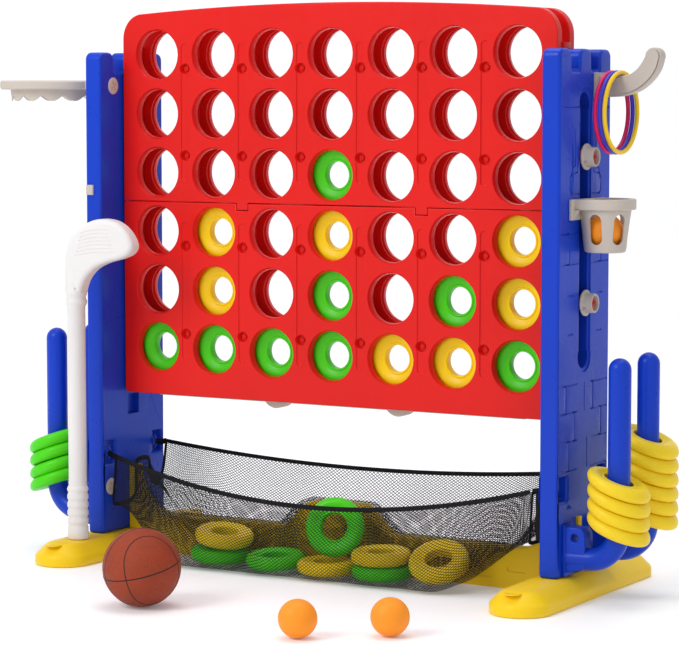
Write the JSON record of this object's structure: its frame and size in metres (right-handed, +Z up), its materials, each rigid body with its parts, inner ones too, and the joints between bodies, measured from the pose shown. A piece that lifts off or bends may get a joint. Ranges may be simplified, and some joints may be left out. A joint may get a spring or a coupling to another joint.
{
  "type": "giant four in a row lawn game",
  "caption": "Giant outdoor four-in-a-row game: red disc board between blue towers, yellow feet, catch net, ring pegs, ball hoop, ring toss hook, ball basket and loose play pieces",
  "frame": {"origin": "on the ground under the middle of the crossbar", "axes": "+X to the right along the board, +Y to the rear, +Z up"},
  "size_m": [1.4497, 0.9075, 1.0866],
  "materials": {
    "red_plastic": "red, slightly glossy",
    "blue_plastic": "blue, slightly glossy",
    "yellow_plastic": "yellow, slightly glossy",
    "green_plastic": "green, slightly glossy",
    "beige_plastic": "pale grey-beige, satin",
    "white_plastic": "off-white, satin",
    "orange_plastic": "orange, satin",
    "pink_plastic": "pink, satin",
    "violet_plastic": "violet-blue, satin",
    "ball_rubber": "brown, pebbled, matt",
    "black_netting": "black knitted polyester net, matt"
  },
  "bodies": {
    "stand": {"tower_left": "blue_plastic", "tower_right": "blue_plastic", "foot_left": "yellow_plastic", "foot_right": "yellow_plastic", "crossbar": "yellow_plastic", "peg_left_front": "blue_plastic", "peg_left_rear": "blue_plastic", "peg_right_front": "blue_plastic", "peg_right_rear": "blue_plastic", "hoop": "beige_plastic", "ring_hook": "beige_plastic", "ball_basket": "beige_plastic", "net": "black_netting", "tower_screw_upper": "beige_plastic", "tower_screw_lower": "beige_plastic"},
    "board": {"board_front_upper": "red_plastic", "board_front_lower": "red_plastic", "board_back_upper": "red_plastic", "board_back_lower": "red_plastic", "side_rail_left": "red_plastic", "side_rail_right": "red_plastic"},
    "release_slider_body": {"release_slider": "beige_plastic"},
    "nut_left_upper_body": {"nut_left_upper": "beige_plastic"},
    "nut_left_lower_body": {"nut_left_lower": "beige_plastic"},
    "nut_right_upper_body": {"nut_right_upper": "beige_plastic"},
    "nut_right_lower_body": {"nut_right_lower": "beige_plastic"},
    "disc_c1_r1_body": {"disc_c1_r1": "green_plastic"},
    "disc_c2_r1_body": {"disc_c2_r1": "green_plastic"},
    "disc_c2_r2_body": {"disc_c2_r2": "yellow_plastic"},
    "disc_c2_r3_body": {"disc_c2_r3": "yellow_plastic"},
    "disc_c3_r1_body": {"disc_c3_r1": "green_plastic"},
    "disc_c4_r1_body": {"disc_c4_r1": "green_plastic"},
    "disc_c4_r2_body": {"disc_c4_r2": "green_plastic"},
    "disc_c4_r3_body": {"disc_c4_r3": "yellow_plastic"},
    "disc_c4_r4_body": {"disc_c4_r4": "green_plastic"},
    "disc_c5_r1_body": {"disc_c5_r1": "yellow_plastic"},
    "disc_c6_r1_body": {"disc_c6_r1": "yellow_plastic"},
    "disc_c6_r2_body": {"disc_c6_r2": "green_plastic"},
    "disc_c7_r1_body": {"disc_c7_r1": "green_plastic"},
    "disc_c7_r2_body": {"disc_c7_r2": "yellow_plastic"},
    "disc_c7_r3_body": {"disc_c7_r3": "yellow_plastic"},
    "net_disc_1_body": {"net_disc_1": "green_plastic"},
    "net_disc_2_body": {"net_disc_2": "yellow_plastic"},
    "net_disc_3_body": {"net_disc_3": "green_plastic"},
    "net_disc_4_body": {"net_disc_4": "yellow_plastic"},
    "net_disc_5_body": {"net_disc_5": "green_plastic"},
    "net_disc_6_body": {"net_disc_6": "green_plastic"},
    "net_disc_7_body": {"net_disc_7": "yellow_plastic"},
    "net_disc_8_body": {"net_disc_8": "yellow_plastic"},
    "stack_left_front_body": {"stack_left_front": "green_plastic"},
    "stack_right_front_body": {"stack_right_front": "yellow_plastic"},
    "stack_right_rear_body": {"stack_right_rear": "yellow_plastic"},
    "toss_ring_pink_body": {"toss_ring_pink": "pink_plastic"},
    "toss_ring_violet_body": {"toss_ring_violet": "violet_plastic"},
    "toss_ring_yellow_body": {"toss_ring_yellow": "yellow_plastic"},
    "basket_ball_body": {"basket_ball": "orange_plastic"},
    "loose_ball_left_body": {"loose_ball_left": "orange_plastic"},
    "loose_ball_right_body": {"loose_ball_right": "orange_plastic"},
    "basketball_body": {"basketball": "ball_rubber"},
    "club_body": {"club": "white_plastic"}
  },
  "joints": [
    {"name": "board_height", "type": "slide", "parent": "stand", "child": "board", "axis": [0, 0, 1], "range_m": [-0.048, 0.064]},
    {"name": "disc_release", "type": "slide", "parent": "board", "child": "release_slider_body", "axis": [1, 0, 0], "range_m": [0, 0.06575]},
    {"name": "nut_turn_left_upper", "type": "hinge", "parent": "board", "child": "nut_left_upper_body", "pos_m": [-0.5265, 0, 0.801], "axis": [-1, 0, 0], "continuous": true},
    {"name": "nut_turn_left_lower", "type": "hinge", "parent": "board", "child": "nut_left_lower_body", "pos_m": [-0.5265, 0, 0.536], "axis": [-1, 0, 0], "continuous": true},
    {"name": "nut_turn_right_upper", "type": "hinge", "parent": "board", "child": "nut_right_upper_body", "pos_m": [0.5265, 0, 0.801], "axis": [1, 0, 0], "continuous": true},
    {"name": "nut_turn_right_lower", "type": "hinge", "parent": "board", "child": "nut_right_lower_body", "pos_m": [0.5265, 0, 0.536], "axis": [1, 0, 0], "continuous": true},
    {"name": "lift_disc_c1_r1", "type": "slide", "parent": "board", "child": "disc_c1_r1_body", "axis": [0, 0, 1], "range_m": [0, 0.738]},
    {"name": "lift_disc_c2_r1", "type": "slide", "parent": "board", "child": "disc_c2_r1_body", "axis": [0, 0, 1], "range_m": [0, 0.738]},
    {"name": "lift_disc_c2_r2", "type": "slide", "parent": "disc_c2_r1_body", "child": "disc_c2_r2_body", "axis": [0, 0, 1], "range_m": [0, 0.623]},
    {"name": "lift_disc_c2_r3", "type": "slide", "parent": "disc_c2_r2_body", "child": "disc_c2_r3_body", "axis": [0, 0, 1], "range_m": [0, 0.508]},
    {"name": "lift_disc_c3_r1", "type": "slide", "parent": "board", "child": "disc_c3_r1_body", "axis": [0, 0, 1], "range_m": [0, 0.738]},
    {"name": "lift_disc_c4_r1", "type": "slide", "parent": "board", "child": "disc_c4_r1_body", "axis": [0, 0, 1], "range_m": [0, 0.738]},
    {"name": "lift_disc_c4_r2", "type": "slide", "parent": "disc_c4_r1_body", "child": "disc_c4_r2_body", "axis": [0, 0, 1], "range_m": [0, 0.623]},
    {"name": "lift_disc_c4_r3", "type": "slide", "parent": "disc_c4_r2_body", "child": "disc_c4_r3_body", "axis": [0, 0, 1], "range_m": [0, 0.508]},
    {"name": "lift_disc_c4_r4", "type": "slide", "parent": "disc_c4_r3_body", "child": "disc_c4_r4_body", "axis": [0, 0, 1], "range_m": [0, 0.393]},
    {"name": "lift_disc_c5_r1", "type": "slide", "parent": "board", "child": "disc_c5_r1_body", "axis": [0, 0, 1], "range_m": [0, 0.738]},
    {"name": "lift_disc_c6_r1", "type": "slide", "parent": "board", "child": "disc_c6_r1_body", "axis": [0, 0, 1], "range_m": [0, 0.738]},
    {"name": "lift_disc_c6_r2", "type": "slide", "parent": "disc_c6_r1_body", "child": "disc_c6_r2_body", "axis": [0, 0, 1], "range_m": [0, 0.623]},
    {"name": "lift_disc_c7_r1", "type": "slide", "parent": "board", "child": "disc_c7_r1_body", "axis": [0, 0, 1], "range_m": [0, 0.738]},
    {"name": "lift_disc_c7_r2", "type": "slide", "parent": "disc_c7_r1_body", "child": "disc_c7_r2_body", "axis": [0, 0, 1], "range_m": [0, 0.623]},
    {"name": "lift_disc_c7_r3", "type": "slide", "parent": "disc_c7_r2_body", "child": "disc_c7_r3_body", "axis": [0, 0, 1], "range_m": [0, 0.508]},
    {"name": "lift_net_disc_1", "type": "slide", "parent": "stand", "child": "net_disc_1_body", "axis": [0, 0, 1], "range_m": [0, 0.016]},
    {"name": "lift_net_disc_2", "type": "slide", "parent": "net_disc_1_body", "child": "net_disc_2_body", "axis": [0, 0, 1], "range_m": [0, 0.016]},
    {"name": "lift_net_disc_3", "type": "slide", "parent": "stand", "child": "net_disc_3_body", "axis": [0, 0, 1], "range_m": [0, 0.05]},
    {"name": "lift_net_disc_4", "type": "slide", "parent": "stand", "child": "net_disc_4_body", "axis": [0, 0, 1], "range_m": [0, 0.05]},
    {"name": "lift_net_disc_5", "type": "slide", "parent": "net_disc_4_body", "child": "net_disc_5_body", "axis": [0, 0, 1], "range_m": [0, 0.05]},
    {"name": "lift_net_disc_6", "type": "slide", "parent": "stand", "child": "net_disc_6_body", "axis": [0, 0, 1], "range_m": [0, 0.01]},
    {"name": "lift_net_disc_7", "type": "slide", "parent": "net_disc_6_body", "child": "net_disc_7_body", "axis": [0, 0, 1], "range_m": [0, 0.01]},
    {"name": "lift_net_disc_8", "type": "slide", "parent": "stand", "child": "net_disc_8_body", "axis": [0, 0, 1], "range_m": [0, 0.05]},
    {"name": "lift_stack_left_front", "type": "slide", "parent": "stand", "child": "stack_left_front_body", "axis": [0, 0, 1], "range_m": [0, 0.31]},
    {"name": "lift_stack_right_front", "type": "slide", "parent": "stand", "child": "stack_right_front_body", "axis": [0, 0, 1], "range_m": [0, 0.31]},
    {"name": "lift_stack_right_rear", "type": "slide", "parent": "stand", "child": "stack_right_rear_body", "axis": [0, 0, 1], "range_m": [0, 0.31]},
    {"name": "shift_toss_ring_pink", "type": "slide", "parent": "stand", "child": "toss_ring_pink_body", "axis": [1, 0, 0], "range_m": [0, 0.0008]},
    {"name": "shift_toss_ring_violet", "type": "slide", "parent": "stand", "child": "toss_ring_violet_body", "axis": [1, 0, 0], "range_m": [0, 0.0008]},
    {"name": "shift_toss_ring_yellow", "type": "slide", "parent": "stand", "child": "toss_ring_yellow_body", "axis": [1, 0, 0], "range_m": [0, 0.006]},
    {"name": "lift_basket_ball", "type": "slide", "parent": "stand", "child": "basket_ball_body", "axis": [0, 0, 1], "range_m": [0, 0.075]},
    {"name": "lift_loose_ball_left", "type": "slide", "parent": "stand", "child": "loose_ball_left_body", "axis": [0, 0, 1], "range_m": [0, 0.3]},
    {"name": "lift_loose_ball_right", "type": "slide", "parent": "stand", "child": "loose_ball_right_body", "axis": [0, 0, 1], "range_m": [0, 0.3]},
    {"name": "lift_basketball", "type": "slide", "parent": "stand", "child": "basketball_body", "axis": [0, 0, 1], "range_m": [0, 0.3]},
    {"name": "lift_club", "type": "slide", "parent": "stand", "child": "club_body", "axis": [0, 0, 1], "range_m": [0, 0.3]}
  ]
}
